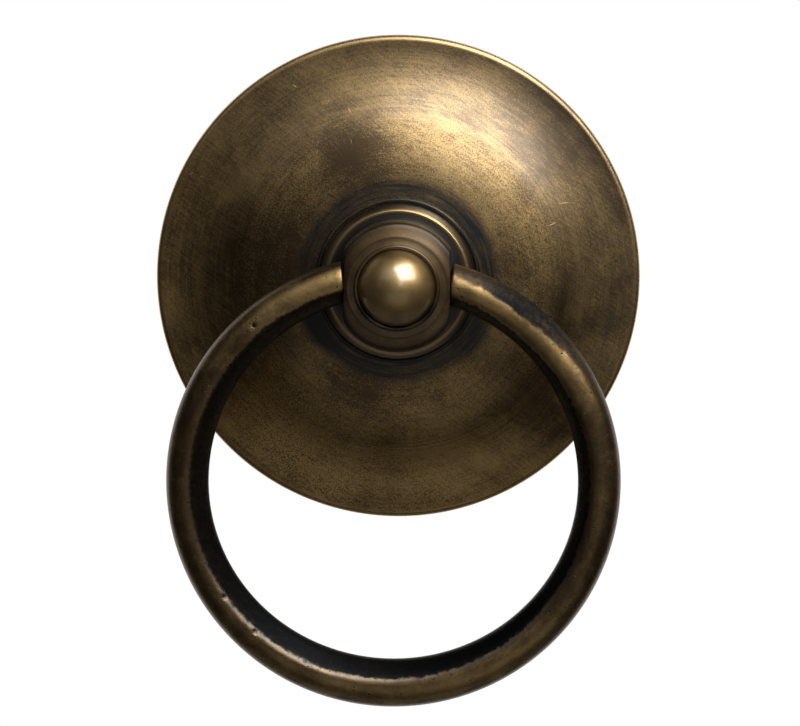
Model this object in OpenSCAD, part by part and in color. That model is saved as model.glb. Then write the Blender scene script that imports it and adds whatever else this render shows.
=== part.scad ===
// Ring pull handle for a cabinet door or drawer, in antiqued brass.
// A wide spun rose lies on the door. A turned collar seats on it, and a turned post stands on
// the collar, held by a washer and a nut in the rose's hollow. The cast ring hangs from the post
// by two pins turned on its ends, and a domed button closes the front of the post.
// Origin at the centre of the rose's back, on the door plane. +Z is up, the front faces -Y.

/* [Rose] */
// Diameter of the rose
rose_d = 80; // [74:1:110]
// Height of the rose's rim in front of the door
rim_h = 2.2; // [1.8:0.1:4]
// Thickness of the spun sheet
sheet_t = 1.4; // [1:0.1:2]
// Width of the turned-back rim that lies on the door
rim_w = 1.6; // [1.4:0.1:3]
// Rounding of the rim's front edge
rim_round = 0.8; // [0.4:0.1:1]
// Tilt of the front face just inside the rim, in degrees
rim_tilt = 3; // [1:0.5:6]
// Diameter of the crease, where the face is steepest
crease_d = 56; // [46:1:64]
// Tilt of the front face at the crease, in degrees
crease_tilt = 27; // [20:0.5:30]
// Diameter of the table, the nearly flat middle that the collar stands on
table_d = 33.2; // [30:0.2:38]
// Tilt of the table, in degrees
table_tilt = 5.5; // [2:0.5:8]
// Width of the small lip that stands round the collar's seat
lip_w = 0.45; // [0.3:0.05:0.8]
// Height of the lip above the table
lip_rise = 0.4; // [0.2:0.05:0.8]
// Depth of the seat that the collar stands in
seat_depth = 0.4; // [0.2:0.05:0.8]

/* [Collar] */
// Diameter of the collar
collar_d = 25.4; // [23:0.2:30]
// Height of the collar's crisp edge above its seat
collar_edge_h = 3; // [2.2:0.1:4]
// Width of the bevel outside the crisp edge
collar_bevel = 0.9; // [0.5:0.1:1.4]
// Rise of the cavetto from the crisp edge to the foot of the post
cavetto_rise = 2; // [1:0.1:3]

/* [Post] */
// Diameter of the post's neck
neck_d = 16; // [13:0.2:16.6]
// Length of the neck between the collar and the boss
neck_len = 2.3; // [1.5:0.1:5]
// Length of the hollow curve that widens the neck to the boss
neck_flare = 1.2; // [0.6:0.1:2]
// Diameter of the boss
boss_d = 21.1; // [20:0.1:23]
// Length of the boss along the post
boss_len = 7.2; // [6.8:0.1:9]
// Rounding of the boss's back shoulder
shoulder_round = 0.8; // [0.4:0.1:1.2]
// Length of the boss's rounded crown
crown_len = 1.3; // [0.8:0.1:3]
// Width of the boss's rounded crown
crown_w = 2.2; // [1:0.1:2.3]
// Distance between the two flats milled on the boss
flats_w = 17.1; // [16.9:0.1:18]
// Diameter of the round cheek sunk in each flat for the ring's end
cheek_d = 8.9; // [8.7:0.1:9.6]
// Depth of the cheek
cheek_depth = 0.45; // [0.2:0.05:0.6]
// Distance from the boss's front face back to the pivot axis
pivot_setback = 3.2; // [2.8:0.1:3.5]
// Diameter of the threaded spigot that reaches back to the door
spigot_d = 8; // [7:0.2:9]

/* [Button] */
// Diameter of the button's bevelled disc
disc_d = 16.2; // [15.2:0.1:16.4]
// Thickness of the disc at its edge
disc_edge_t = 0.25; // [0.15:0.05:0.5]
// Rise of the disc's bevel to the bead
disc_rise = 0.2; // [0.1:0.05:0.8]
// Diameter of the bead round the dome
bead_d = 13.9; // [13.2:0.1:14.6]
// Thickness of the bead
bead_t = 0.7; // [0.5:0.05:0.9]
// Diameter of the dome at its base
dome_d = 12.5; // [10:0.1:12.6]
// Height of the dome above its base
dome_h = 4.8; // [3:0.1:6]
// Diameter of the stub that holds the button in the post
stub_d = 5; // [3:0.1:6]
// Length of the stub
stub_len = 6; // [3:0.2:8]

/* [Ring] */
// Outside diameter of the ring
ring_d = 73.7; // [66:0.5:90]
// Thickness of the bar where it meets the post
bar_end_d = 6.8; // [6:0.1:7.2]
// Thickness of the bar halfway round
bar_side_d = 7; // [6:0.1:8]
// Thickness of the bar at the bottom
bar_bottom_d = 7.9; // [6.5:0.1:9]
// Depth of the filed flat along the bar's inner front edge, at the bottom
bar_flat = 0.45; // [0.1:0.05:0.7]
// Rounding of the bar's cut ends
end_round = 0.35; // [0.2:0.05:0.6]
// Height of the bar's ends above the axis of their pins
end_lift = 0.6; // [0:0.1:0.7]
// Slant of the bar's cut ends, in degrees: the upper edge stands further from the post
end_slant = 6; // [0:1:12]
// Diameter of the pins on the ring's ends
pin_d = 3.2; // [2.4:0.1:3.8]
// Length of each pin outside the ring
pin_len = 4; // [3:0.1:4.2]
// Depth of each pin's root in the ring
pin_root = 1.5; // [0.8:0.1:2.5]

/* [Fixing] */
// Outside diameter of the washer
washer_d = 16; // [14:0.5:22]
// Thickness of the washer
washer_t = 1.2; // [0.8:0.1:1.6]
// Width of the nut across its flats
nut_af = 13; // [11:0.5:15]
// Thickness of the nut
nut_t = 4; // [2.5:0.1:4.4]
// Diameter of the tapped hole for the screw through the door
tapped_d = 4.2; // [3:0.1:5]
// Depth of the tapped hole
tapped_len = 11; // [6:0.5:12]

/* [Clearances] */
// Radial clearance of the pins in the post
pin_clear = 0.06; // [0.02:0.01:0.1]
// Gap between the ring's ends and the cheeks
cheek_gap = 0.2; // [0.15:0.05:0.4]
// Gap between the end of a pin or stub and the bottom of its hole
end_gap = 0.4; // [0.3:0.05:0.6]
// Radial clearance round the spigot and the stub
slip_clear = 0.05; // [0.02:0.01:0.1]
// Radial gap between the collar and the lip of its seat
seat_gap = 0.25; // [0.15:0.05:0.4]

/* [Hidden] */
$fn = 96;

// Overrun of a cut past the faces that it opens
over = 1;
// Shares of the way along a curved outline at which it has points
curve_steps = 10;
curve_shares = [for (i = [0 : curve_steps]) i / curve_steps];

// Radii of the rose and the collar, from the rim inwards
rose_r = rose_d / 2;
rim_face_r = rose_r - rim_round;
rim_in_r = rose_r - rim_w;
crease_r = crease_d / 2;
collar_r = collar_d / 2;
seat_r = collar_r + seat_gap;
lip_out_r = seat_r + lip_w;
table_r = table_d / 2;
spigot_r = spigot_d / 2;
through_r = spigot_r + slip_clear;

// Slopes of the rose's front face, from the rim inwards: each zone's slope changes evenly
rim_slope = tan(rim_tilt);
crease_slope = tan(crease_tilt);
table_slope = tan(table_tilt);

// Height gained over a run from one slope to another, up to the share t of the run
function climb(run, from, to, t = 1) = run * (from * t + (to - from) * t * t / 2);

// Heights in front of the door, from the rim up to the button
crease_h = rim_h + climb(rim_face_r - crease_r, rim_slope, crease_slope);
table_h = crease_h + climb(crease_r - table_r, crease_slope, table_slope);
lip_h = table_h + climb(table_r - lip_out_r, table_slope, table_slope) + lip_rise;
seat_h = lip_h - seat_depth;
edge_h = seat_h + collar_edge_h;
foot_h = edge_h + cavetto_rise;
boss_back_h = foot_h + neck_len;
boss_front_h = boss_back_h + boss_len;
pivot_h = boss_front_h - pivot_setback;
disc_top_h = boss_front_h + disc_edge_t + disc_rise;

// Heights of the fixing, from the rose's underside back
washer_front_h = seat_h - sheet_t;
nut_front_h = washer_front_h - washer_t;

// Power of the hollow curve of the disc's bevel
disc_power = 1.5;

// Share of the way from one radius to another
function share(r, from, to) = (from - r) / (from - to);

// Height of the rose's front face at radius r
function rose_front(r) =
    r >= crease_r
        ? rim_h + climb(rim_face_r - crease_r, rim_slope, crease_slope, share(r, rim_face_r, crease_r))
    : r >= table_r
        ? crease_h + climb(crease_r - table_r, crease_slope, table_slope, share(r, crease_r, table_r))
    : table_h + climb(table_r - lip_out_r, table_slope, table_slope, min(1, share(r, table_r, lip_out_r)));

// Values from a to b in even stretches
function stretch(a, b) = [for (s = curve_shares) a + (b - a) * s];

// Quarter of an ellipse from one point to another: it leaves the first along the radius and
// reaches the second along the height, or the other way round with steep_first
function quarter(from, to, steep_first = false) = [for (s = curve_shares)
    steep_first
        ? [from[0] + (to[0] - from[0]) * (1 - cos(90 * s)), from[1] + (to[1] - from[1]) * sin(90 * s)]
        : [from[0] + (to[0] - from[0]) * sin(90 * s), from[1] + (to[1] - from[1]) * (1 - cos(90 * s))]];

// Turns an outline of [radius, height] points about the post's axis, its heights towards -Y
module turned() {
    rotate([90, 0, 0]) rotate_extrude() children();
}

// Turned hole of radius r between two heights
module bore(r, low, high) {
    rotate([90, 0, 0]) translate([0, 0, low]) cylinder(r = r, h = high - low);
}

// Rose: one spun dish, its edge turned back to lie on the door
module rose() {
    front_radii = concat(stretch(rim_face_r, crease_r), stretch(crease_r, table_r), [lip_out_r]);
    rolled = quarter([rose_r, rim_h - rim_round], [rim_face_r, rim_h], true);
    back_radii = concat([seat_r], stretch(table_r, crease_r), stretch(crease_r, rim_in_r));
    front = [for (r = front_radii) [r, rose_front(r)]];
    back = [for (r = back_radii) [r, min(rose_front(r), seat_h) - sheet_t]];
    rim = [[rim_in_r, 0], [rose_r, 0]];
    seat = [[lip_out_r, lip_h], [seat_r, lip_h], [seat_r, seat_h], [through_r, seat_h],
            [through_r, washer_front_h]];
    color([0.45, 0.36, 0.2])
    turned() polygon(concat(rim, rolled, front, seat, back));
}

// Collar: a turned foot with a crisp edge and a cavetto that rises to the post
module collar() {
    edge_r = collar_r - collar_bevel;
    bevel_h = edge_h - collar_bevel;
    cavetto = quarter([edge_r, edge_h], [neck_d / 2, foot_h]);
    base = [[through_r, seat_h], [collar_r, seat_h], [collar_r, bevel_h]];
    color([0.5, 0.42, 0.27])
    turned() polygon(concat(base, cavetto, [[through_r, foot_h]]));
}

// Post: neck and boss turned on one bar with the spigot, flats milled on the boss with a cheek
// sunk in each for the ring's end, pin holes drilled in from the cheeks, a hole for the button
// in front and a tapped one behind
module post() {
    neck_r = neck_d / 2;
    boss_r = boss_d / 2;
    flat_x = flats_w / 2;
    pin_hole_depth = pin_len - cheek_gap + end_gap;
    shoulder_h = boss_back_h + shoulder_round;
    crown_h = boss_front_h - crown_len;
    flare = quarter([neck_r, boss_back_h - neck_flare], [boss_r - shoulder_round, boss_back_h], true);
    shoulder = quarter([boss_r - shoulder_round, boss_back_h], [boss_r, shoulder_h]);
    crown = quarter([boss_r, crown_h], [boss_r - crown_w, boss_front_h], true);
    spigot = [[0, 0], [spigot_r, 0], [spigot_r, foot_h], [neck_r, foot_h]];
    color([0.48, 0.4, 0.25])
    difference() {
        turned() polygon(concat(spigot, flare, shoulder, crown, [[0, boss_front_h]]));
        for (side = [0, 1]) mirror([side, 0, 0]) {
            translate([flat_x, -boss_front_h - over, -boss_r])
                cube([boss_r, boss_front_h - foot_h + over, boss_d]);
            translate([cheek_x, -pivot_h, 0])
                rotate([0, 90, 0]) cylinder(d = cheek_d, h = cheek_depth + over);
            translate([cheek_x - pin_hole_depth, -pivot_h, 0])
                rotate([0, 90, 0]) cylinder(r = pin_d / 2 + pin_clear, h = pin_hole_depth + over);
        }
        bore(stub_d / 2 + slip_clear, boss_front_h - stub_len - end_gap, boss_front_h + over);
        bore(tapped_d / 2, -over, tapped_len);
    }
}

// Button: a dome with a bead round its foot, on a disc with a hollow bevel and a stub behind
module button() {
    dome_r = dome_d / 2;
    disc_r = disc_d / 2;
    bead_r = bead_d / 2;
    crown_r = (dome_r * dome_r + dome_h * dome_h) / (2 * dome_h);
    edge_top_h = boss_front_h + disc_edge_t;
    bevel = [for (s = curve_shares)
        [disc_r + (bead_r - disc_r) * s, edge_top_h + disc_rise * pow(s, disc_power)]];
    color([0.62, 0.53, 0.36])
    turned() {
        polygon(concat([[0, boss_front_h], [disc_r, boss_front_h]], bevel, [[0, disc_top_h]]));
        translate([bead_r - bead_t / 2, disc_top_h]) circle(d = bead_t);
        intersection() {
            translate([0, disc_top_h + dome_h - crown_r]) circle(r = crown_r);
            translate([0, disc_top_h]) square([dome_r, dome_h]);
        }
        translate([0, boss_front_h - stub_len]) square([stub_d / 2, stub_len]);
    }
}

// Thickness of the ring's bar at angle a, from 0 at the top round to 180 at the bottom
function bar_d(a) = cos(a) > 0
    ? bar_end_d + (bar_side_d - bar_end_d) * pow(sin(a), 2)
    : bar_side_d + (bar_bottom_d - bar_side_d) * pow(cos(a), 2);

// Place of the ring: its ends stand off the cheeks, and its centre hangs below the pins
ring_r = ring_d / 2;
cheek_x = flats_w / 2 - cheek_depth;
end_x = cheek_x + cheek_gap;
end_mid_r = ring_r - bar_end_d / 2;
end_a = asin(end_x / end_mid_r);
ring_drop = end_mid_r * cos(end_a) - end_lift;

// Numbers of sections along the bar and of sides round it
bar_sections = 72;
bar_sides = 24;
// Direction of the filed flat round the bar, between the front and the inside
flat_dir = 140;

// Distance from the bar's centre to its surface, in direction s round it
function bar_reach(a, s) =
    let (r = bar_d(a) / 2, flat = bar_flat * (1 - cos(a)) / 2, turn = cos(s - flat_dir))
    turn > 0 ? min(r, (r - flat) / turn) : r;

// Points round the bar at angle a, drawn in by inset
function bar_section(a, inset = 0) =
    let (mid_r = ring_r - bar_d(a) / 2)
    [for (i = [0 : bar_sides - 1])
        let (s = 360 * i / bar_sides, reach = bar_reach(a, s) - inset, out = mid_r + reach * cos(s))
        [out * sin(a), -pivot_h - reach * sin(s), out * cos(a) - ring_drop]];

// The same points moved along the bar to its cut end, which leaves the plane at x as it rises
function bar_end(a, x, inset = 0) =
    let (side = sign(x), low_z = -bar_end_d / 2 + end_lift)
    [for (p = bar_section(a, inset))
        let (plane_z = p[2] - tan(a) * (x - p[0]),
             rise = (plane_z - low_z) * tan(end_slant) / (1 + side * tan(a) * tan(end_slant)))
        [x + side * rise, p[1], plane_z - tan(a) * side * rise]];

// Ring: one casting, its bar thinner towards the post, with a pin turned on each cut end
module ring() {
    last_a = 360 - end_a;
    between = [for (i = [1 : bar_sections - 1]) end_a + (last_a - end_a) * i / bar_sections];
    sections = concat(
        [bar_end(end_a, end_x, end_round), bar_end(end_a, end_x + end_round)],
        [for (a = between) bar_section(a)],
        [bar_end(last_a, -end_x - end_round), bar_end(last_a, -end_x, end_round)]);
    rows = len(sections);
    first_cap = [for (k = [0 : bar_sides - 1]) k];
    last_cap = [for (k = [0 : bar_sides - 1]) rows * bar_sides - 1 - k];
    sides = [for (j = [0 : rows - 2], k = [0 : bar_sides - 1])
        let (next = (k + 1) % bar_sides)
        [j * bar_sides + k, (j + 1) * bar_sides + k, (j + 1) * bar_sides + next, j * bar_sides + next]];
    color([0.5, 0.41, 0.24]) {
        polyhedron(points = [for (section = sections) each section],
                   faces = concat([first_cap, last_cap], sides), convexity = 4);
        for (side = [0, 1]) mirror([side, 0, 0])
            translate([end_x - pin_len, -pivot_h, 0])
                rotate([0, 90, 0]) cylinder(d = pin_d, h = pin_len + pin_root);
    }
}

// Washer: lies against the rose's underside
module washer() {
    color([0.55, 0.47, 0.3])
    difference() {
        bore(washer_d / 2, nut_front_h, washer_front_h);
        bore(through_r, nut_front_h - over, washer_front_h + over);
    }
}

// Lock nut: a thin hexagon nut on the spigot, which clamps the rose and the collar to the post
module lock_nut() {
    corner_r = nut_af / 2 / cos(180 / 6);
    color([0.6, 0.52, 0.33])
    difference() {
        rotate([90, 0, 0]) translate([0, 0, nut_front_h - nut_t])
            cylinder(r = corner_r, h = nut_t, $fn = 6);
        bore(through_r, nut_front_h - nut_t - over, nut_front_h + over);
    }
}

rose();
collar();
post();
button();
ring();
washer();
lock_nut();
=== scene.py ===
import bpy
import math
import numpy as np
from mathutils import Matrix, Vector


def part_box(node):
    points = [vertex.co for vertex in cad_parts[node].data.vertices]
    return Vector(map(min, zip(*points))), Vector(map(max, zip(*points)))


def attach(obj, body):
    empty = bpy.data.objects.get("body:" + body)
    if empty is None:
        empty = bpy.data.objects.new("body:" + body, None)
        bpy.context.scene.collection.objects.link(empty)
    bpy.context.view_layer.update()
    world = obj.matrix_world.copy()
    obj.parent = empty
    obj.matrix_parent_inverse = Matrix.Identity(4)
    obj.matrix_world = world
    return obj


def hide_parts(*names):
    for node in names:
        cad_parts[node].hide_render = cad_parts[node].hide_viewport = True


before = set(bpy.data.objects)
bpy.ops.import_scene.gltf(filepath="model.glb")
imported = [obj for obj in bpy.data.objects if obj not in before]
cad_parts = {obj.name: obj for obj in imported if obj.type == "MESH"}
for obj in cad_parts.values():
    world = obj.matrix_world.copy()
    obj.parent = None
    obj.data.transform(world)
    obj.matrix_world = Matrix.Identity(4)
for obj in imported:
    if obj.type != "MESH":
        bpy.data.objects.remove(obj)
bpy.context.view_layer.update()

# Rose. The wide round plate that lies on the door. It is spun from brass sheet on a lathe, so it
# is thin, hollow behind and turned back at its edge. Its middle rises in a bell shape to a small
# lip, and the crease two thirds of the way out is where the spinner changed tools.
MM = 0.001

rose_low, rose_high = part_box("rose")
rose_r = rose_high[0] / MM
lip_h = -rose_low[1] / MM
collar_low, collar_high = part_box("collar")
collar_r = collar_high[0] / MM
seat_h = -collar_high[1] / MM

rim_h, rim_w, rim_round, rim_tilt = 2.2, 1.6, 1.0, 3.0
crease_r, crease_tilt = 28.0, 27.0
table_r, table_tilt = 16.6, 5.5
lip_w, seat_gap = 0.45, 0.25
sheet_t = 1.4
through_r = 4.05


def quarter(start, end, steep_first, steps=10):
    """Quarter of an ellipse between two points of a profile."""
    turn = np.linspace(0, math.pi / 2, steps + 1)
    slow, fast = 1 - np.cos(turn), np.sin(turn)
    over, up = (slow, fast) if steep_first else (fast, slow)
    return [(start[0] + (end[0] - start[0]) * a, start[1] + (end[1] - start[1]) * b, 0)
            for a, b in zip(over, up)]


def profile(corners, step, closed=True):
    """Rounds the corners (radius, height, rounding) of a profile and divides its long stretches."""
    count = len(corners)
    points = []
    for i, (r, h, rounding) in enumerate(corners):
        here = np.array([r, h], float)
        ends = not closed and i in (0, count - 1)
        if rounding == 0 or ends:
            points.append(here)
            continue
        back = np.array(corners[i - 1][:2], float) - here
        on = np.array(corners[(i + 1) % count][:2], float) - here
        back_l, on_l = np.linalg.norm(back), np.linalg.norm(on)
        back, on = back / back_l, on / on_l
        half = math.acos(max(-1, min(1, float(back @ on)))) / 2
        cut = min(rounding / math.tan(half), 0.45 * back_l, 0.45 * on_l)
        for t in np.linspace(0, 1, 6):
            points.append(here + back * cut * (1 - t) ** 2 + on * cut * t ** 2)
    points = np.array(points)
    fine = []
    last = len(points) if closed else len(points) - 1
    for i in range(last):
        a, b = points[i], points[(i + 1) % len(points)]
        parts = max(1, math.ceil(np.linalg.norm(b - a) / step))
        fine += [a + (b - a) * k / parts for k in range(parts)]
    if not closed:
        fine.append(points[-1])
    return np.array(fine)


def add_piece(name, points, faces, body, slot, *nodes):
    """A smooth mesh that stands for CAD nodes and rides on their body."""
    mesh = bpy.data.meshes.new(name)
    mesh.from_pydata((np.asarray(points) * MM).tolist(), [], faces)
    mesh.update()
    mesh.shade_smooth()
    mesh.set_sharp_from_angle(angle=math.radians(50))
    piece = bpy.data.objects.new(name, mesh)
    bpy.context.scene.collection.objects.link(piece)
    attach(piece, body)
    if nodes:
        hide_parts(*nodes)
    return piece


def spin(outline, columns, closed=True, form=None):
    """Turns a profile about the post's axis, its heights towards -Y. Poles close on one point."""
    turn = np.linspace(0, 2 * math.pi, columns, endpoint=False)
    points, faces, rings = [], [], []
    for r, h in outline:
        if r < 1e-6:
            rings.append([len(points)] * columns)
            points.append((0, -h, 0))
            continue
        rings.append(list(range(len(points), len(points) + columns)))
        radii, heights = form(r, h, turn) if form else (r, h)
        ring = np.stack([radii * np.cos(turn), -heights * np.ones(columns), radii * np.sin(turn)], 1)
        points += [tuple(p) for p in ring]
    pairs = list(zip(rings, rings[1:] + rings[:1])) if closed else list(zip(rings, rings[1:]))
    for low, high in pairs:
        for k in range(columns):
            n = (k + 1) % columns
            face = [low[k], low[n], high[n], high[k]]
            faces.append([p for j, p in enumerate(face) if p != face[j - 1]])
    return points, faces


seat_r = collar_r + seat_gap
lip_out_r = seat_r + lip_w
rim_face_r = rose_r - rim_round
rim_slope, crease_slope, table_slope = (
    math.tan(math.radians(tilt)) for tilt in (rim_tilt, crease_tilt, table_tilt))
zone_edges = (rim_face_r, crease_r, table_r, lip_out_r)
zone_slopes = (rim_slope, crease_slope, table_slope, table_slope)


def rose_front(r):
    """Height of the rose's front face at radius r. Its slope changes evenly across each zone."""
    height = rim_h
    for outer, inner, start, end in zip(zone_edges, zone_edges[1:], zone_slopes, zone_slopes[1:]):
        run = min(max(outer - r, 0), outer - inner)
        height += start * run + (end - start) * run * run / (2 * (outer - inner))
    return height


front_step, crease_step, back_step, edge_step = 0.17, 0.07, 0.8, 1.2
crease_band = 1.2
rose_columns = 320
front_radii = np.concatenate([np.arange(rim_face_r - front_step, crease_r + crease_band, -front_step),
                              np.arange(crease_r + crease_band, crease_r - crease_band, -crease_step),
                              np.arange(crease_r - crease_band, lip_out_r, -front_step)])
front_face = [(r, rose_front(r), 0) for r in front_radii]
rim_in_r = rose_r - rim_w
back_radii = np.arange(seat_r, rim_in_r, back_step)
back_face = [(r, min(rose_front(r), seat_h) - sheet_t, 0) for r in back_radii]
rose_outline = profile(
    [(rim_in_r, 0, 0.1), (rose_r, 0, 0.15)]
    + quarter((rose_r, rim_h - rim_round), (rim_face_r, rim_h), True)
    + front_face
    + [(lip_out_r, lip_h, 0.12), (seat_r, lip_h, 0.1), (seat_r, seat_h, 0.05),
       (through_r, seat_h, 0.05), (through_r, seat_h - sheet_t, 0.05)]
    + back_face, edge_step)

# Fine tool lines run along the crease, not quite round, and the sheet isn't perfectly true
tool_lines = [(27.5, 0.011, 0.10, 0.5), (28.1, 0.015, 0.07, 2.1), (28.55, 0.009, 0.12, 4.0)]
line_w = 0.13
wave_size, wave_pitch = 0.014, (20, 34)
front_skin, fade_w = 0.2, 2.0
rng = np.random.default_rng(11)
waves = [(n, rng.uniform(0, 2 * math.pi), rng.uniform(*wave_pitch), wave_size / n) for n in (2, 3, 5, 7)]


def hand_spun(r, h, turn):
    """The spun face wanders by hundredths of a millimetre."""
    on_front = h > rim_h * 0.9 and h > rose_front(max(r, lip_out_r)) - front_skin
    if not (on_front and r > lip_out_r):
        return r, h
    wander = sum(size * np.sin(n * turn + start + r / pitch) for n, start, pitch, size in waves)
    fade = min(1, (r - lip_out_r) / fade_w, (rose_r - r) / fade_w)
    grooves = sum(depth * np.exp(-((r - at - sway * np.sin(2 * turn + start)) / line_w) ** 2)
                  for at, depth, sway, start in tool_lines)
    return r, h + wander * fade - grooves


rose_mesh = spin(rose_outline, rose_columns, form=hand_spun)
rose = add_piece("rose_plate", *rose_mesh, "pull_base", "rose_brass", "rose")


class Wire:
    """A value in a finish being made. Arithmetic on it adds the Math nodes."""

    def __init__(self, finish, socket):
        self.finish, self.socket = finish, socket

    def maths(self, operation, *values):
        slots = dict(enumerate(values))
        return self.finish.add("ShaderNodeMath", {"operation": operation}, slots)

    def __add__(self, other):
        return self.maths("ADD", self, other)

    def __sub__(self, other):
        return self.maths("SUBTRACT", self, other)

    def __rsub__(self, other):
        return self.maths("SUBTRACT", other, self)

    def __mul__(self, other):
        return self.maths("MULTIPLY", self, other)

    def __truediv__(self, other):
        return self.maths("DIVIDE", self, other)

    __radd__, __rmul__ = __add__, __mul__

    def ramp(self, low, high):
        """0 below low, 1 above high, smooth between. low may be the larger."""
        settings = {"interpolation_type": "SMOOTHSTEP"}
        if low > high:
            return 1 - self.ramp(high, low)
        sockets = {"Value": self, "From Min": low, "From Max": high}
        return self.finish.add("ShaderNodeMapRange", settings, sockets)

    def bump_at(self, centre, width):
        """1 at centre, falling smoothly to 0 at width to either side."""
        return self.maths("ABSOLUTE", self - centre).ramp(width, 0)


class Finish:
    """A procedural finish for one piece. add() puts in one node and hands back its output."""

    def __init__(self, name, owner=None):
        self.material = owner or bpy.data.materials.new(name)
        self.material.use_nodes = True
        self.tree = self.material.node_tree
        self.tree.nodes.clear()

    def add(self, kind, settings, sockets, output=0):
        node = self.tree.nodes.new(kind)
        for key, value in settings.items():
            setattr(node, key, value)
        for key, value in sockets.items():
            if isinstance(value, Wire):
                self.tree.links.new(value.socket, node.inputs[key])
            else:
                node.inputs[key].default_value = value
        return Wire(self, node.outputs[output]) if node.outputs else None

    def place(self):
        return self.add("ShaderNodeTexCoord", {}, {}, "Object")

    def axes(self, vector):
        split = {k: self.add("ShaderNodeSeparateXYZ", {}, {0: vector}, k) for k in ("X", "Y", "Z")}
        return split["X"], split["Y"], split["Z"]

    def vector(self, x, y, z):
        return self.add("ShaderNodeCombineXYZ", {}, {0: x, 1: y, 2: z})

    def length(self, vector):
        return self.add("ShaderNodeVectorMath", {"operation": "LENGTH"}, {0: vector}, "Value")

    def noise(self, vector, per_metre, detail=3.0, roughness=0.55, warp=0.0):
        return self.add("ShaderNodeTexNoise", {"noise_dimensions": "3D"},
                        {"Vector": vector, "Scale": per_metre, "Detail": detail,
                         "Roughness": roughness, "Distortion": warp})

    def blend(self, share, first, second):
        """Mixes two colours: all first at 0, all second at 1."""
        return self.add("ShaderNodeMix", {"data_type": "RGBA"}, {0: share, 6: first, 7: second}, 2)

    def dress(self, piece, colour, roughness, wax_and_sheen, relief, depth, wax_rough=0.3, wax_ior=1.8):
        """Joins the finish to its shader. Relief is a height from 0 to 1, depth its size in metres."""
        bump = self.add("ShaderNodeBump", {}, {"Height": relief, "Distance": depth, "Strength": 1.0})
        shader = self.add("ShaderNodeBsdfPrincipled", {},
                          {"Base Color": colour, "Metallic": 1.0, "Roughness": roughness, "Normal": bump,
                           "Coat Weight": wax_and_sheen, "Coat Roughness": wax_rough, "Coat IOR": wax_ior})
        self.add("ShaderNodeOutputMaterial", {}, {"Surface": shader})
        piece.data.materials.clear()
        piece.data.materials.append(self.material)


def rgb(r, g, b):
    return (r, g, b, 1.0)


bare_brass = rgb(0.56, 0.375, 0.15)
brown_patina = rgb(0.12, 0.077, 0.039)
# The blue-black colour also serves for painted shade.
blue_patina_and_shade = rgb(0.016, 0.0185, 0.021)
black_patina = rgb(0.003, 0.003, 0.004)


def antiqued(finish, rubbed, blue_black_share):
    """Colour of antiqued brass: brown where the patina stays, bare where rubbed, blue-black in corners and
    where shade is painted.
    """
    worn = finish.blend(rubbed, brown_patina, bare_brass)
    return finish.blend(blue_black_share, worn, blue_patina_and_shade)


finish = Finish("spun_antiqued_brass")
place = finish.place()
x, y, z = finish.axes(place)
radius = finish.length(finish.vector(x, 0, z))
radius_mm = radius * 1000
around_x, around_z = x / radius, z / radius
lathe_pitch, lathe_run = 2400, 2.2
band_pitch, band_run = 420, 1.3
lathe_way = finish.vector(radius * lathe_pitch, around_x * lathe_run, around_z * lathe_run)
band_way = finish.vector(radius * band_pitch, around_x * band_run, around_z * band_run)
lathe = finish.noise(lathe_way, 1.0, 4, 0.6)
bands = finish.noise(band_way, 1.0, 3, 0.6)
strokes = finish.noise(finish.vector(x * 260 - z * 180, x * 1500 + z * 2100, 0), 1.0, 3, 0.6, 0.4)
grain = finish.noise(place, 4600, 2, 0.6)
sand = finish.noise(place, 1500, 3, 0.65)
cloud = finish.noise(place, 62, 4, 0.55, 0.6)
blotch = finish.noise(place, 210, 3, 0.6, 0.5)
facing_y = finish.axes(finish.add("ShaderNodeTexCoord", {}, {}, "Normal"))[1]
front_side = facing_y.ramp(0.3, -0.3)
inner_zone = radius_mm.ramp(crease_r - 0.2, crease_r - 3.4)
halo = radius_mm.ramp(table_r + 1.6, table_r - 1.2) * front_side
edge = radius_mm.ramp(rose_r - 1.1, rose_r - 0.4)

# Short scratches on the face, in millimetres: across, up, slant in degrees, length
scratches = [(-25.8, 22.5, 35, 1.6), (-17.5, 31.3, -40, 1.3), (-12.0, 28.8, 55, 1.5), (-8.4, 27.5, -55, 1.4),
             (-10.6, 25.0, 30, 1.2), (-8.0, 22.5, -70, 1.5), (-13.6, 20.8, 70, 1.3), (-34.4, 16.6, 15, 1.1),
             (-32.7, 16.1, -20, 0.9), (-31.3, 10.4, 40, 0.9), (37.9, -8.4, 70, 1.3), (35.1, -17.2, 60, 1.4),
             (18.0, 20.8, 50, 0.7), (12.2, 21.1, -45, 0.7), (27.0, 13.0, 5, 2.2), (25.2, 9.6, 25, 2.6)]
scratch_w = 0.09
scratched = 0.0
for across, up, slant, length in scratches:
    c, s = math.cos(math.radians(slant)), math.sin(math.radians(slant))
    over, above = x * 1000 - across, z * 1000 - up
    along, beside = over * c + above * s, above * c - over * s
    mark = along.bump_at(0, length / 2) * beside.bump_at(0, scratch_w)
    scratched = mark + scratched

# Soft patches, in millimetres: across, up, reach, amount. In the first table cloths have rubbed the patina
# through or left it thick, the second makes the face more golden and grainy, and the third is painted shadow
# where the ring shades the face.
rubbed_spots = [(-21.0, 3.0, 13.0, -0.3), (-16.0, 18.0, 10.0, -0.1), (-8.0, 20.0, 9.0, -0.45),
                (5.0, 18.0, 8.0, 0.15), (22.0, 5.0, 12.0, -0.25), (10.0, -31.0, 12.0, 0.3),
                (-6.0, -20.0, 10.0, -0.3), (24.0, 24.0, 13.0, -0.25)]
golden_spots = [(-11.0, -31.0, 13.0, 0.7), (-20.0, -25.0, 11.0, 0.8), (4.0, -33.0, 12.0, 0.4),
                (-17.0, 14.0, 9.0, 0.15)]
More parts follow.
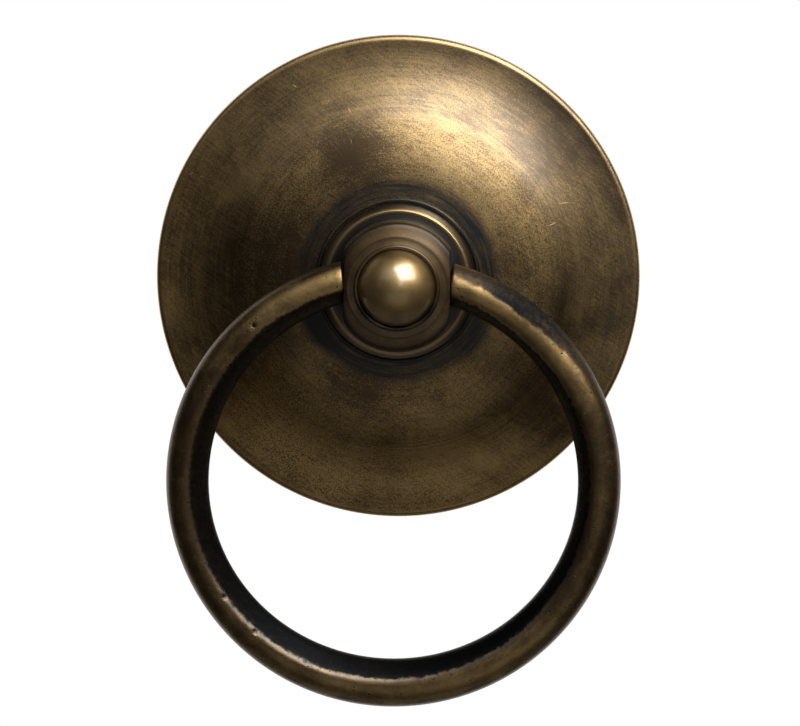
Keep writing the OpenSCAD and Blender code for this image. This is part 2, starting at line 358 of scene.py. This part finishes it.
# Painted shadow: these patches darken the face inside the ring, where the ring shades it.
painted_shade_spots = [(15.5, -12.0, 7.0, 0.45), (21.0, -18.0, 9.0, 0.4), (26.0, -24.0, 9.0, 0.4),
               (-17.5, -10.0, 9.5, 0.55)]


def spots(finish, x, z, rows):
    """Adds up soft round patches."""
    total = 0.0
    for across, up, reach, amount in rows:
        away = finish.vector(x * 1000 - across, 0, z * 1000 - up)
        distance = finish.length(away)
        total = distance.ramp(reach, 0) * amount + total
    return total


golden = spots(finish, x, z, golden_spots) * front_side
rubbed = (cloud - 0.5) * 1.0 + (blotch - 0.5) * 0.5 + (lathe - 0.5) * 0.5
rubbed = rubbed + (bands - 0.5) * 0.5 + (strokes - 0.5) * 0.6
rubbed = rubbed + (grain - 0.5) * (inner_zone * 0.7 + golden * 3.0 + 1.0)
rubbed = rubbed + (spots(finish, x, z, rubbed_spots) + scratched + 0.2) * front_side
rubbed = rubbed + inner_zone * 0.08 + edge * 0.4 + golden * 0.5 + 0.22
blue_black_share = halo * ((cloud - 0.5) * 0.4 + (bands - 0.5) * 0.8 + (lathe - 0.5) * 1.2 + 0.74)
# Painted shadow of the ring, added to the blue-black share.
blue_black_share = blue_black_share + spots(finish, x, z, painted_shade_spots) * front_side
colour = antiqued(finish, rubbed.ramp(0.0, 1.0), blue_black_share.ramp(0.0, 1.0))
rough = 0.39 + (cloud - 0.5) * 0.08 + (sand - 0.5) * 0.12 + halo * 0.06
# Painted sheen: the coat is made thicker on the side facing the key window, up and to the right, so the
# highlights there come out whiter.
coat_share = (x * 0.5 + z * 0.87).ramp(-0.012, 0.028)
wax_and_sheen = coat_share * (0.55 - inner_zone * 0.35) + halo * 0.3 + (cloud - 0.5) * 0.2 + 0.12
relief = grain * (0.25 + inner_zone * 0.5) + sand * 0.4 + lathe * 0.5 + bands * 0.4 - scratched * 0.6
rose_relief = 0.000022
finish.dress(rose, colour, rough, wax_and_sheen, relief, rose_relief)

# Collar. A solid ring turned from bar, which seats inside the rose's lip. Its crisp edge catches
# the light, and its cavetto rises behind the boss. The nut behind the rose clamps it.
collar_bevel, collar_edge_h = 1.0, 3.0
neck_r = 8.0
turned_step, turned_columns = 0.35, 288

foot_h = -collar_low[1] / MM
edge_h = seat_h + collar_edge_h
edge_r = collar_r - collar_bevel
cavetto = quarter((edge_r, edge_h), (neck_r, foot_h), False, 24)
collar_outline = profile(
    [(through_r, seat_h, 0.05), (collar_r, seat_h, 0.1), (collar_r, edge_h - collar_bevel, 0.2),
     (edge_r, edge_h, 0.3)] + cavetto[1:] + [(through_r, foot_h, 0.05)], turned_step)
collar_mesh = spin(collar_outline, turned_columns)
collar = add_piece("collar_foot", *collar_mesh, "pull_base", "hub_brass", "collar")


def turned_finish(name, rubbed_bands, sooty_bands, painted_shade_spots, waxed_spots, rub, shine, wax_and_sheen):
    """Antiqued brass turned on a lathe. A band is (radius from, to, height from, to, amount)."""
    finish = Finish(name)
    place = finish.place()
    x, y, z = finish.axes(place)
    radius = finish.length(finish.vector(x, 0, z))
    radius_mm, height_mm = radius * 1000, y * -1000
    swirl = finish.vector(radius * 2600, x / radius + y * 2600, z / radius + y * 2600)
    lathe = finish.noise(swirl, 1.0, 4, 0.6)
    grain = finish.noise(place, 3000, 2, 0.6)
    cloud = finish.noise(place, 160, 3, 0.55, 0.6)

    def bands(rows):
        total = 0.0
        for r0, r1, h0, h1, amount in rows:
            soft_r, soft_h = 0.25 * abs(r1 - r0), 0.25 * abs(h1 - h0)
            inside = (radius_mm.ramp(r0 - soft_r, r0 + soft_r) * radius_mm.ramp(r1 + soft_r, r1 - soft_r)
                      * height_mm.ramp(h0 - soft_h, h0 + soft_h) * height_mm.ramp(h1 + soft_h, h1 - soft_h))
            total = inside * amount + total
        return total

    rubbed = bands(rubbed_bands) + rub + (cloud - 0.5) * 0.7 + (lathe - 0.5) * 0.25 + (grain - 0.5) * 0.25
    # Painted shade: the shade spots darken the piece where shade falls on it.
    blue_black_share = bands(sooty_bands) + spots(finish, x, z, painted_shade_spots) + (cloud - 0.5) * 0.4
    colour = antiqued(finish, rubbed.ramp(0.0, 1.0), blue_black_share.ramp(0.1, 0.9))
    rough = shine + (cloud - 0.5) * 0.1 + (grain - 0.5) * 0.08
    coat_share = (cloud - 0.5) * 0.4 + spots(finish, x, z, waxed_spots) + wax_and_sheen
    return finish, colour, rough, coat_share, lathe * 0.6 + grain * 0.4


turned_depth = 0.000012
finish, *look = turned_finish(
    "turned_collar_brass",
    [(edge_r - 0.3, edge_r + 0.25, edge_h - 0.35, edge_h + 0.3, 1.0)],
    [(neck_r - 1, edge_r - 0.3, edge_h - 0.5, foot_h + 1, 0.9),
     (collar_r - 0.2, collar_r + 1, 0, edge_h - 1.4, 1.0),
     (edge_r + 0.45, collar_r + 1, edge_h - 1.5, edge_h - 0.3, 0.4)],
    [], [], 0.26, 0.34, 0.6)
finish.dress(collar, *look, turned_depth)

# Post. Turned on one bar: neck, boss with a soft bevel in front, and the threaded spigot behind. The
# flats are milled so the ring's ends can swing beside them, and the holes for its pins are drilled.
post_low, post_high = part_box("post")
boss_r = post_high[2] / MM
flat_x = post_high[0] / MM
boss_front_h = -post_low[1] / MM
neck_len, neck_flare, shoulder_round = 2.3, 1.2, 0.8
bevel_drop, bevel_w, bevel_round = 0.7, 2.35, 1.3
cheek_r, cheek_depth, cheek_gap = 4.45, 0.45, 0.2
spigot_r, tapped_r, tapped_len = 4.0, 2.1, 11.0
stub_hole_r, stub_hole_len = 2.55, 6.4
pin_hole_r, pin_hole_depth = 1.66, 4.2
pivot_h = boss_front_h - 3.2
spigot_pitch, tapped_pitch, thread_depth = 1.25, 0.8, 0.35
mouth_chamfer, thread_lead, thread_skip, spigot_thread_h = 0.3, 0.4, 0.3, 7.6
drill_sides, drill_over = 64, 1.0

boss_back_h = foot_h + neck_len
cheek_x = flat_x - cheek_depth
thread_step, post_step = 0.12, 0.3
post_outline = profile(
    [(0, tapped_len, 0), (tapped_r, tapped_len, 0)]
    + [(tapped_r, h, 0) for h in np.arange(tapped_len - 0.5, thread_lead, -thread_step)]
    + [(tapped_r + mouth_chamfer, 0, 0), (spigot_r - thread_lead, 0, 0)]
    + [(spigot_r, h, 0) for h in np.arange(thread_lead, spigot_thread_h, thread_step)]
    + [(spigot_r, foot_h, 0.05), (neck_r, foot_h, 0.05)]
    + quarter((neck_r, boss_back_h - neck_flare), (boss_r - shoulder_round, boss_back_h), True, 12)
    + quarter((boss_r - shoulder_round, boss_back_h), (boss_r, boss_back_h + shoulder_round), False, 8)[1:]
    + [(boss_r, boss_front_h - bevel_drop, bevel_round), (boss_r - bevel_w, boss_front_h, 0.4)]
    + [(stub_hole_r, boss_front_h, 0.05), (stub_hole_r, boss_front_h - stub_hole_len, 0),
       (0, boss_front_h - stub_hole_len, 0)], post_step, closed=False)


def threaded_and_milled(r, h, turn):
    """Cuts the threads, and brings the boss in to its two flats with a broken edge."""
    radii = np.full(len(turn), float(r))
    if abs(r - spigot_r) < 0.01 and thread_skip < h < spigot_thread_h:
        radii -= thread_depth * np.abs(2 * ((h / spigot_pitch + turn / (2 * math.pi)) % 1) - 1)
    if abs(r - tapped_r) < 0.01 and thread_skip < h < tapped_len - thread_lead:
        radii += thread_depth * 0.7 * np.abs(2 * ((h / tapped_pitch + turn / (2 * math.pi)) % 1) - 1)
    if r > neck_r + 0.3 and h > foot_h:
        across = flat_x / np.maximum(np.abs(np.cos(turn)), 1e-3)
        soft = 0.05
        gap = np.clip((across - radii) / soft, -40, 40)
        radii = np.minimum(radii, across) - soft * np.log1p(np.exp(-np.abs(gap))) * 0.5
    return radii, h


post_mesh = spin(post_outline, turned_columns, False, threaded_and_milled)
post = add_piece("post_boss", *post_mesh, "pull_base", "hub_brass", "post")
for way in (-1, 1):
    drill = bpy.data.meshes.new("pin_drill")
    turn = np.linspace(0, 2 * math.pi, drill_sides, endpoint=False)
    steps = [(cheek_x - pin_hole_depth, pin_hole_r), (cheek_x, pin_hole_r),
             (cheek_x, cheek_r), (flat_x + drill_over, cheek_r)]
    drill_points = [(way * at * MM, (-pivot_h + r * math.sin(t)) * MM, r * math.cos(t) * MM)
                    for at, r in steps for t in turn]
    walls = []
    for j in range(len(steps) - 1):
        low, high = j * drill_sides, (j + 1) * drill_sides
        walls += [[low + k, low + (k + 1) % drill_sides, high + (k + 1) % drill_sides, high + k]
                  for k in range(drill_sides)]
    tip = list(range(drill_sides))[::-1]
    mouth = list(range(len(drill_points) - drill_sides, len(drill_points)))
    drill.from_pydata(drill_points, [], walls + [tip, mouth])
    if way < 0:
        drill.flip_normals()
    cutter = bpy.data.objects.new("pin_drill", drill)
    bpy.context.scene.collection.objects.link(cutter)
    cut = post.modifiers.new("pin_hole", "BOOLEAN")
    cut.operation, cut.solver, cut.object = "DIFFERENCE", "EXACT", cutter
    bpy.context.view_layer.update()
    drilled = bpy.data.meshes.new_from_object(post.evaluated_get(bpy.context.evaluated_depsgraph_get()))
    post.modifiers.clear()
    post.data = drilled
    bpy.data.objects.remove(cutter)
post.data.set_sharp_from_angle(angle=math.radians(40))

finish, *look = turned_finish(
    "turned_post_brass",
    [],
    [(neck_r - 2, boss_r + 2, foot_h - 1, boss_back_h + 1.2, 0.9),
     (boss_r - bevel_w + 1.1, boss_r + 1, boss_front_h - 1.5, boss_front_h + 1, 0.5)],
    # Painted shade: these spots darken the boss beside both flats, where the ring's ends sit close, and at
    # its upper right.
    [(6.0, 6.5, 8.5, 0.15), (flat_x, 1.0, 7.0, 0.3), (-flat_x, 0, 8.0, 0.5)],
    [], 0.18, 0.42, 0.2)
finish.dress(post, *look, turned_depth)

# Button. Turned in one piece: a low dome with a bead round its foot on a disc with a hollow
# bevel, and a stub behind that is driven into the post. Handling has rubbed the dome bright.
button_low, button_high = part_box("button")
disc_r = button_high[0] / MM
dome_top_h = -button_low[1] / MM
stub_r, stub_len = 2.5, 6.0
disc_edge_t, disc_rise, disc_power = 0.25, 0.2, 1.5
bead_r, bead_t, dome_r = 6.95, 0.7, 6.25
bead_from, bead_to = 12, 168
button_step, button_columns = 0.5, 256

edge_top_h = boss_front_h + disc_edge_t
disc_top_h = edge_top_h + disc_rise
dome_h = dome_top_h - disc_top_h
crown_r = (dome_r ** 2 + dome_h ** 2) / (2 * dome_h)
bevel = [(disc_r + (bead_r - disc_r) * s, edge_top_h + disc_rise * s ** disc_power, 0)
         for s in np.linspace(0.04, 1, 16)]
bead_mid_r = bead_r - bead_t / 2
bead = [(bead_mid_r + bead_t / 2 * math.cos(a), disc_top_h + bead_t / 2 * math.sin(a), 0)
        for a in np.radians(np.linspace(bead_from, bead_to, 16))]
dome_start = math.asin(dome_r / crown_r)
dome = [(crown_r * math.sin(a), dome_top_h - crown_r + crown_r * math.cos(a), 0)
        for a in np.linspace(dome_start, 0, 60)]
button_outline = profile(
    [(0, boss_front_h - stub_len, 0), (stub_r, boss_front_h - stub_len, 0.2), (stub_r, boss_front_h, 0),
     (disc_r, boss_front_h, 0), (disc_r, edge_top_h - 0.02, 0)] + bevel + bead + dome,
    button_step, closed=False)
button_mesh = spin(button_outline, button_columns, False)
button = add_piece("button_dome", *button_mesh, "pull_base", "button_brass", "button")

finish, *look = turned_finish(
    "rubbed_button_brass",
    [(-2, dome_r - 0.3, disc_top_h, dome_top_h + 2, 0.65)],
    [(dome_r - 0.1, dome_r + 0.1, disc_top_h - 0.2, disc_top_h + 0.3, 0.3),
     (dome_r + 0.1, bead_r + 0.1, disc_top_h - 0.2, disc_top_h + 0.6, 0.4),
     (disc_r - 0.15, disc_r + 0.6, boss_front_h - 0.5, boss_front_h + 0.3, 0.8)],
    # Painted shade: three spots darken the lower edge of the dome.
    [(-4.6, -3.6, 3.4, 0.45), (0, -5.0, 3.8, 0.45), (4.6, -3.4, 3.4, 0.45)],
    [(0, 2.0, 5.0, 1.0)], 0.16, 0.46, 0.2)
finish.dress(button, *look, turned_depth, wax_rough=0.22, wax_ior=2.3)

# Ring. One brass casting, filed and rubbed by hand. The bar is thickest at the bottom where it is
# pulled and thinner at the post. Its two ends are cut flat beside the boss, each with a turned pin.
ring_low, ring_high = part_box("ring")
ring_r = ring_high[0] / MM
bar_end_d, bar_side_d, bar_bottom_d = 6.8, 7.0, 7.9
bar_flat, flat_dir, flat_from, flat_soft = 1.0, 140.0, 50.0, 0.35
end_round, end_lift, end_slant = 0.35, 0.6, 6.0
pin_r, pin_len, pin_chamfer, pin_shoulder = 1.6, 4.0, 0.3, 0.5

end_x = cheek_x + cheek_gap
end_mid_r = ring_r - bar_end_d / 2
end_a = math.degrees(math.asin(end_x / end_mid_r))
ring_drop = end_mid_r * math.cos(math.radians(end_a)) - end_lift
bar_rows, bar_sides, end_rows = 640, 112, 4


def bar_d(a):
    """Thickness of the bar at angle a from the top, in degrees."""
    c, s = math.cos(math.radians(a)), math.sin(math.radians(a))
    if c > 0:
        return bar_end_d + (bar_side_d - bar_end_d) * s * s
    return bar_side_d + (bar_bottom_d - bar_side_d) * c * c


bar_turn = np.linspace(0, 360, bar_sides, endpoint=False)

# Casting pits: angle from the top, angle round the bar, radius and depth in millimetres. A lump is
# a shallow wave along and round the bar: its start, turns round the bar, pitch and size.
small_pits, lump_count = 110, 14
pit_rng = np.random.default_rng(5)
large_pits = [(317.9, 79, 0.4, 0.15), (221.8, 95, 0.4, 0.25), (235.0, 95, 0.35, 0.2), (205.3, 102, 0.3, 0.2)]
pits = large_pits + [(pit_rng.uniform(end_a, 360 - end_a), pit_rng.uniform(0, 360),
                      pit_rng.uniform(0.12, 0.26), pit_rng.uniform(0.02, 0.08))
                     for _ in range(small_pits)]
lumps = [(pit_rng.uniform(0, 360), pit_rng.integers(1, 4), pit_rng.uniform(2, 9),
          pit_rng.uniform(0.002, 0.006)) for _ in range(lump_count)]


def bar_section(a, inset=0.0):
    """Points round the bar at angle a from the top, drawn in by inset."""
    r = bar_d(a) / 2
    flat = bar_flat * ((1 - math.cos(math.radians(a - flat_from))) / 2) ** 3
    turn = np.cos(np.radians(bar_turn - flat_dir))
    chord = (r - flat) / np.maximum(turn, 0.05)
    reach = -flat_soft * np.logaddexp(-r / flat_soft, -chord / flat_soft)
    reach = np.minimum(reach, r)
    for start, count, pitch, size in lumps:
        wave = np.sin(np.radians(a * pitch + start) + count * np.radians(bar_turn))
        reach = reach - size * (0.5 + 0.5 * wave)
    for at, way, wide, deep in pits:
        along = math.radians(a - at) * (ring_r - r)
        if abs(along) < 3 * wide:
            round_it = np.radians((bar_turn - way + 180) % 360 - 180) * r
            reach = reach - deep * np.exp(-(along ** 2 + round_it ** 2) / wide ** 2)
    reach = reach - inset
    mid = ring_r - r
    out = mid + reach * np.cos(np.radians(bar_turn))
    return np.stack([out * math.sin(math.radians(a)), -pivot_h - reach * np.sin(np.radians(bar_turn)),
                     out * math.cos(math.radians(a)) - ring_drop], 1)


def bar_end(a, x_at, inset):
    """The section moved along the bar to its cut end, which leans away from the post as it rises."""
    points = bar_section(a, inset)
    side, slope, lean = np.sign(x_at), math.tan(math.radians(a)), math.tan(math.radians(end_slant))
    plane_z = points[:, 2] - slope * (x_at - points[:, 0])
    rise = (plane_z + bar_end_d / 2 - end_lift) * lean / (1 + side * slope * lean)
    return np.stack([x_at + side * rise, points[:, 1], plane_z - slope * side * rise], 1)


def pin_ring(x_at, r):
    """A circle of the turned pin, in step with the bar's own points."""
    turn = np.radians(bar_turn)
    return np.stack([np.full(bar_sides, x_at), -pivot_h - r * np.sin(turn), r * np.cos(turn)], 1)


def ring_end(a, way):
    """Sections from the pin's tip to the bar, at the end where x has the sign of way."""
    tip = end_x - pin_len
    rows = [pin_ring(way * tip, pin_r * 0.02), pin_ring(way * tip, pin_r - pin_chamfer),
            pin_ring(way * (tip + pin_chamfer), pin_r), pin_ring(way * (end_x - pin_shoulder), pin_r),
            pin_ring(way * end_x, pin_r)]
    face = bar_end(a, way * end_x, end_round)
    rows += [rows[-1] * (1 - t) + face * t for t in (0.35, 0.7, 1.0)]
    for t in np.radians((30, 60, 90)):
        rows.append(bar_end(a, way * (end_x + end_round * (1 - math.cos(t))), end_round * (1 - math.sin(t))))
    return rows


spread = np.linspace(end_a, 360 - end_a, bar_rows + 1)[end_rows:-end_rows]
sections = ring_end(end_a, 1) + [bar_section(a) for a in spread] + ring_end(360 - end_a, -1)[::-1]
ring_points = np.concatenate(sections)
ring_faces = []
for j in range(len(sections) - 1):
    low, high = j * bar_sides, (j + 1) * bar_sides
    ring_faces += [[low + k, low + (k + 1) % bar_sides, high + (k + 1) % bar_sides, high + k]
                   for k in range(bar_sides)]
ring_faces.append(list(range(bar_sides))[::-1])
ring_faces.append(list(range(len(ring_points) - bar_sides, len(ring_points))))
ring = add_piece("pull_ring_casting", ring_points, ring_faces, "pull_ring", "ring_brass", "ring")

finish = Finish("cast_antiqued_brass")
place = finish.place()
x, y, z = finish.axes(place)
down = z + ring_drop * MM
reach = finish.length(finish.vector(x, 0, down))
angle = x.maths("ARCTAN2", x, down)
upright = down / reach
lower = upright.ramp(0.3, -1.0)
outward = reach * 1000 - (ring_r - bar_end_d / 2) + lower * ((bar_bottom_d - bar_end_d) / 2)
front = y * -1000 - pivot_h
round_bar = front.maths("ARCTAN2", front, outward) * (180 / math.pi)
filed = finish.noise(finish.vector(angle * 9, round_bar / 18, 0), 1.0, 3, 0.6)
grain = finish.noise(place, 3000, 3, 0.65)
cloud = finish.noise(place, 130, 4, 0.6, 0.8)
patch = finish.noise(place, 420, 3, 0.6, 0.8)
speck = finish.noise(place, 1100, 2, 0.6)
ragged = round_bar + (cloud - 0.5) * 16 + (patch - 0.5) * 12 + (speck - 0.5) * 12
rightward = x / reach
by_post = angle.bump_at(0.65, 0.75)
inner_line = ragged - rightward * 10 - by_post * 14
rubbed_face = (ragged - by_post * 40).ramp(24, 50) * inner_line.ramp(118, 106)
inner_face = inner_line.ramp(103, 114) + ragged.ramp(-112, -126)
ridge = inner_line.bump_at(102, 12) * lower
left_end = angle.bump_at(-0.35, 0.5)
low_right = angle.bump_at(2.6, 0.9) * round_bar.bump_at(66, 24)
dull_patch = angle.bump_at(0.53, 0.14) * round_bar.bump_at(72, 26)
pores = finish.add("ShaderNodeTexVoronoi", {"feature": "F1"}, {"Vector": place, "Scale": 1300.0}, "Distance")
pores = pores.ramp(0.26, 0.14) * patch.ramp(0.5, 0.6)
for at, way, wide, _ in large_pits:
    along = (angle * (180 / math.pi) - (at if at < 180 else at - 360)) * (math.radians(1) * end_mid_r)
    beside = (round_bar - way) * (math.radians(1) * bar_end_d / 2)
    distance = finish.length(finish.vector(along, beside, 0))
    pores = distance.ramp(wide * 1.2, wide * 0.7) + pores
rubbed_back = ragged.bump_at(-75, 55)
dull_face = (ragged - by_post * 40).ramp(44, 30) * by_post
rubbed = rubbed_face * (upright * upright * 0.3 + 0.16) + rubbed_back * 0.2 - ridge * 0.3
rubbed = rubbed + low_right * 0.3 + (left_end * 0.2 + by_post * 0.3) * rubbed_face
rubbed = rubbed + (cloud - 0.5) * 0.7 + (patch - 0.5) * 0.5 + (filed - 0.5) * 0.3 + (grain - 0.5) * 0.4
blue_black_share = inner_face * (lower * 0.36 + 0.64) + dull_face * 0.85 + dull_patch * 0.35
blue_black_share = blue_black_share + pores * 0.9 + (speck - 0.6) * 0.8 + ridge * (1.3 - lower * 0.95)
colour = antiqued(finish, rubbed.ramp(0.0, 1.0), blue_black_share.ramp(0.0, 1.0))
colour = finish.blend(inner_face * lower * 0.6, colour, black_patina)
rough = 0.4 + (cloud - 0.5) * 0.12 + (speck - 0.5) * 0.14
rough = rough + inner_face * lower * 0.05 + dull_face * 0.3 + by_post * rubbed_face * 0.06
wax_and_sheen = ((cloud - 0.5) * 0.3 + ridge * 0.55 + 0.14) * (1 - inner_face * 0.9) * (1 - dull_face)
relief = grain * 0.45 + filed * 0.35 + speck * 0.5 + patch * 0.4 - pores * 0.5
cast_relief = 0.00004
finish.dress(ring, colour, rough, wax_and_sheen, relief, cast_relief)

# Washer and lock nut. Plain brass, turned and milled, run up the spigot inside the rose's hollow.
# They clamp the rose and the collar against the post before the handle goes on its door.
washer_low, washer_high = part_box("washer")
nut_low, nut_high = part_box("lock_nut")
nut_af_r = min(nut_high[0], nut_high[2]) / MM
nut_corner_r = nut_af_r / math.cos(math.pi / 6)
nut_back_h, nut_front_h = -nut_high[1] / MM, -nut_low[1] / MM
washer_r, washer_front_h = washer_high[0] / MM, -washer_low[1] / MM
nut_chamfer, nut_land = 0.5, 0.2
nut_step, nut_columns = 0.4, 360
washer_step, washer_columns = 0.5, 192
flats_turned = nut_high[0] > nut_high[2]


def milled_hexagon(r, h, turn):
    """Cuts the turned blank to six flats, so that its chamfers leave arcs on them."""
    phase = 0.0 if flats_turned else math.pi / 6
    across = nut_af_r / np.cos((turn + phase) % (math.pi / 3) - math.pi / 6)
    return np.minimum(r, across), h


nut_outline = profile(
    [(through_r, nut_back_h, 0.15), (nut_af_r - nut_land, nut_back_h, 0.05),
     (nut_corner_r, nut_back_h + nut_chamfer, 0), (nut_corner_r, nut_front_h - nut_chamfer, 0),
     (nut_af_r - nut_land, nut_front_h, 0.05), (through_r, nut_front_h, 0.15)], nut_step)
nut_mesh = spin(nut_outline, nut_columns, form=milled_hexagon)
lock_nut = add_piece("lock_nut_milled", *nut_mesh, "pull_base", "plain_brass", "lock_nut")
washer_outline = profile(
    [(through_r, nut_front_h, 0.1), (washer_r, nut_front_h, 0.25), (washer_r, washer_front_h, 0.1),
     (through_r, washer_front_h, 0.1)], washer_step)
washer_mesh = spin(washer_outline, washer_columns)
washer = add_piece("washer_turned", *washer_mesh, "pull_base", "plain_brass", "washer")
for piece in (lock_nut, washer):
    finish = Finish(piece.name + "_brass")
    place = finish.place()
    x, y, z = finish.axes(place)
    radius = finish.length(finish.vector(x, 0, z))
    turned_lines = finish.noise(finish.vector(radius * 3000, y * 3000, 0), 1.0, 3, 0.6)
    cloud = finish.noise(place, 200, 3, 0.6)
    grain = finish.noise(place, 2400, 3, 0.6)
    rubbed = (cloud - 0.5) * 0.9 + 0.75 + (grain - 0.5) * 0.3 + (turned_lines - 0.5) * 0.3
    colour = antiqued(finish, rubbed.ramp(0.0, 1.0), 0.0)
    rough = 0.32 + (cloud - 0.5) * 0.1
    relief = turned_lines * 0.7 + grain * 0.3
    finish.dress(piece, colour, rough, 0.1, relief, turned_depth)

# Stage. A pale painted floor well below the handle and a plain wall far behind it. The wall shows
# white to the camera and in the brass, and throws no light of its own on the handle.
floor_z, floor_front, wall_y, wall_top, stage_half = -2.0, -0.3, 1.6, 2.5, 2.6


def stage_sheet(name, corners, white):
    mesh = bpy.data.meshes.new(name)
    mesh.from_pydata(corners, [], [[0, 1, 2, 3]])
    sheet = bpy.data.objects.new(name, mesh)
    bpy.context.scene.collection.objects.link(sheet)
    finish = Finish(name + "_paint")
    paint = finish.add("ShaderNodeBsdfDiffuse", {}, {"Color": rgb(0.75, 0.75, 0.75)})
    if white:
        seen, glossy, through = (finish.add("ShaderNodeLightPath", {}, {}, ray) for ray in
                                 ("Is Camera Ray", "Is Glossy Ray", "Is Transmission Ray"))
        seen = seen.maths("MAXIMUM", seen, glossy)
        seen = seen.maths("MAXIMUM", seen, through)
        glow = finish.add("ShaderNodeEmission", {}, {"Color": rgb(1, 1, 1), "Strength": 1.0})
        paint = finish.add("ShaderNodeMixShader", {}, {0: seen, 1: paint, 2: glow})
    finish.add("ShaderNodeOutputMaterial", {}, {"Surface": paint})
    sheet.data.materials.append(finish.material)


stage_sheet("floor", [(-stage_half, floor_front, floor_z), (stage_half, floor_front, floor_z),
                      (stage_half, wall_y, floor_z), (-stage_half, wall_y, floor_z)], False)
stage_sheet("back_wall", [(-stage_half, wall_y, floor_z), (stage_half, wall_y, floor_z),
                          (stage_half, wall_y, wall_top), (-stage_half, wall_y, wall_top)], True)

# Light. A large soft window high on the right and a small one low in front give the highlights,
# and weaker panels to the left, below and at both sides open the shadows. The room is dim.
world = bpy.data.worlds.new("studio")
bpy.context.scene.world = world
finish = Finish("studio", world)
room = finish.add("ShaderNodeBackground", {}, {"Color": rgb(1, 0.98, 0.95), "Strength": 0.028})
finish.add("ShaderNodeOutputWorld", {}, {"Surface": room})


def softbox(name, azimuth, elevation, distance, width, height, radiance, tint):
    """A rectangular soft lamp that faces the handle. Azimuth is to the right of the camera's side."""
    lamp = bpy.data.lights.new(name, "AREA")
    lamp.shape, lamp.size, lamp.size_y = "RECTANGLE", width, height
    lamp.color = tint
    lamp.energy = radiance * width * height * math.pi
    a, e = math.radians(azimuth), math.radians(elevation)
    away = Vector((math.sin(a) * math.cos(e), -math.cos(a) * math.cos(e), math.sin(e)))
    light = bpy.data.objects.new(name, lamp)
    light.location = away * distance
    light.rotation_mode = "QUATERNION"
    light.rotation_quaternion = away.to_track_quat("Z", "Y")
    bpy.context.scene.collection.objects.link(light)


softbox("key_window", 35, 48, 1.2, 1.08, 1.02, 4.75, (1.0, 0.99, 0.97))
softbox("low_window", 11, 15, 1.2, 0.25, 0.25, 0.95, (1.0, 0.99, 0.97))
softbox("left_window", -38, 40, 1.2, 0.7, 0.7, 0.3, (1.0, 0.98, 0.95))
softbox("right_side", 120, 15, 1.3, 1.2, 1.4, 0.08, (1.0, 0.98, 0.95))
softbox("left_side", -120, 15, 1.3, 1.2, 1.4, 0.07, (1.0, 0.98, 0.95))
softbox("low_fill", 4, -30, 1.2, 1.3, 0.75, 0.2, (1.0, 0.96, 0.9))

# Camera. It stands a little above the handle and a hair to its right, tilted by one degree, with a
# long lens. Up, right and roll are degrees, and the lens is given in pixels of the picture.
camera_up, camera_right, camera_roll = 5.736, 0.444, 1.068
camera_away, focal_px = 0.7, 4209.0
aim = Vector((0.551, 0.0, -14.457)) * MM
picture_w = 800
lens = bpy.data.cameras.new("camera")
lens.sensor_fit, lens.sensor_width = "HORIZONTAL", 36.0
lens.lens = focal_px * lens.sensor_width / picture_w
lens.clip_start, lens.clip_end = 0.01, 20.0
camera = bpy.data.objects.new("camera", lens)
a, e, roll = (math.radians(v) for v in (camera_right, camera_up, camera_roll))
behind_lens = Vector((math.sin(a) * math.cos(e), -math.cos(a) * math.cos(e), math.sin(e)))
level = Vector((0, 0, 1)).cross(behind_lens).normalized()
upward = behind_lens.cross(level)
tilted_level = level * math.cos(roll) + upward * math.sin(roll)
tilted_up = upward * math.cos(roll) - level * math.sin(roll)
camera.matrix_world = Matrix.Translation(aim + behind_lens * camera_away) @ Matrix(
    (tilted_level, tilted_up, behind_lens)).transposed().to_4x4()
bpy.context.scene.collection.objects.link(camera)
bpy.context.scene.camera = camera
bpy.context.scene.view_settings.view_transform = "Standard"
